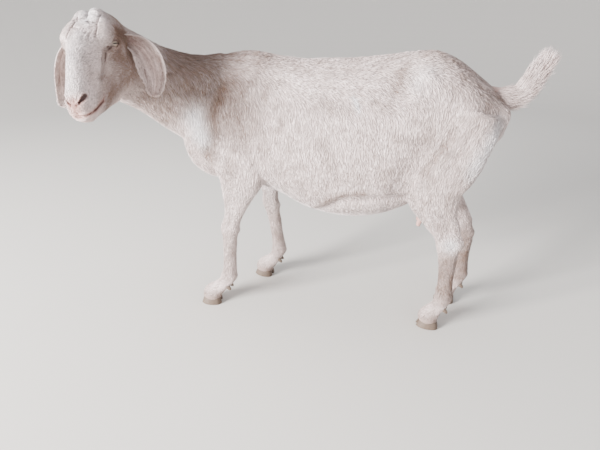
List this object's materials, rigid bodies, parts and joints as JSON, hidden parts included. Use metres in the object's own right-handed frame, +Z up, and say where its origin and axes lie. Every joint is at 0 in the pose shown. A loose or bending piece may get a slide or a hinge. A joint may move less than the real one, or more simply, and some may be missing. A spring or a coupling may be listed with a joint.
{
  "type": "nubian goat",
  "caption": "Life-size standing nubian doe, pale cream coat, long hanging ears, roman nose, head turned to the left and tail raised.",
  "frame": {"origin": "centre of the bounding box in plan, at the level of the soles", "axes": "the goat faces -x, its left side is towards -y, up is +z"},
  "size_m": [1.1782, 0.5818, 0.8618],
  "materials": {
    "torso_coat": "short flat goat coat",
    "neck_coat": "short flat goat coat",
    "head_coat": "short flat goat coat over bone",
    "leg_coat": "short flat goat coat",
    "tail_hair": "long loose goat hair",
    "ear_coat": "very short goat hair over thin skin",
    "udder_skin": "bare soft skin",
    "eye_amber": "wet gloss",
    "claw_horn": "worn hoof horn",
    "dewclaw_horn": "worn hoof horn"
  },
  "bodies": {
    "root": {"head": "head_coat", "neck": "neck_coat", "torso": "torso_coat", "tail": "tail_hair", "udder": "udder_skin", "ear_left": "ear_coat", "ear_right": "ear_coat", "eye_left": "eye_amber", "eye_right": "eye_amber", "leg_front_left": "leg_coat", "leg_front_right": "leg_coat", "leg_hind_left": "leg_coat", "leg_hind_right": "leg_coat", "claw_front_left_outer": "claw_horn", "claw_front_left_inner": "claw_horn", "claw_front_right_outer": "claw_horn", "claw_front_right_inner": "claw_horn", "claw_hind_left_outer": "claw_horn", "claw_hind_left_inner": "claw_horn", "claw_hind_right_outer": "claw_horn", "claw_hind_right_inner": "claw_horn", "dewclaw_front_left_outer": "dewclaw_horn", "dewclaw_front_left_inner": "dewclaw_horn", "dewclaw_front_right_outer": "dewclaw_horn", "dewclaw_front_right_inner": "dewclaw_horn", "dewclaw_hind_left_outer": "dewclaw_horn", "dewclaw_hind_left_inner": "dewclaw_horn", "dewclaw_hind_right_outer": "dewclaw_horn", "dewclaw_hind_right_inner": "dewclaw_horn"}
  },
  "joints": []
}
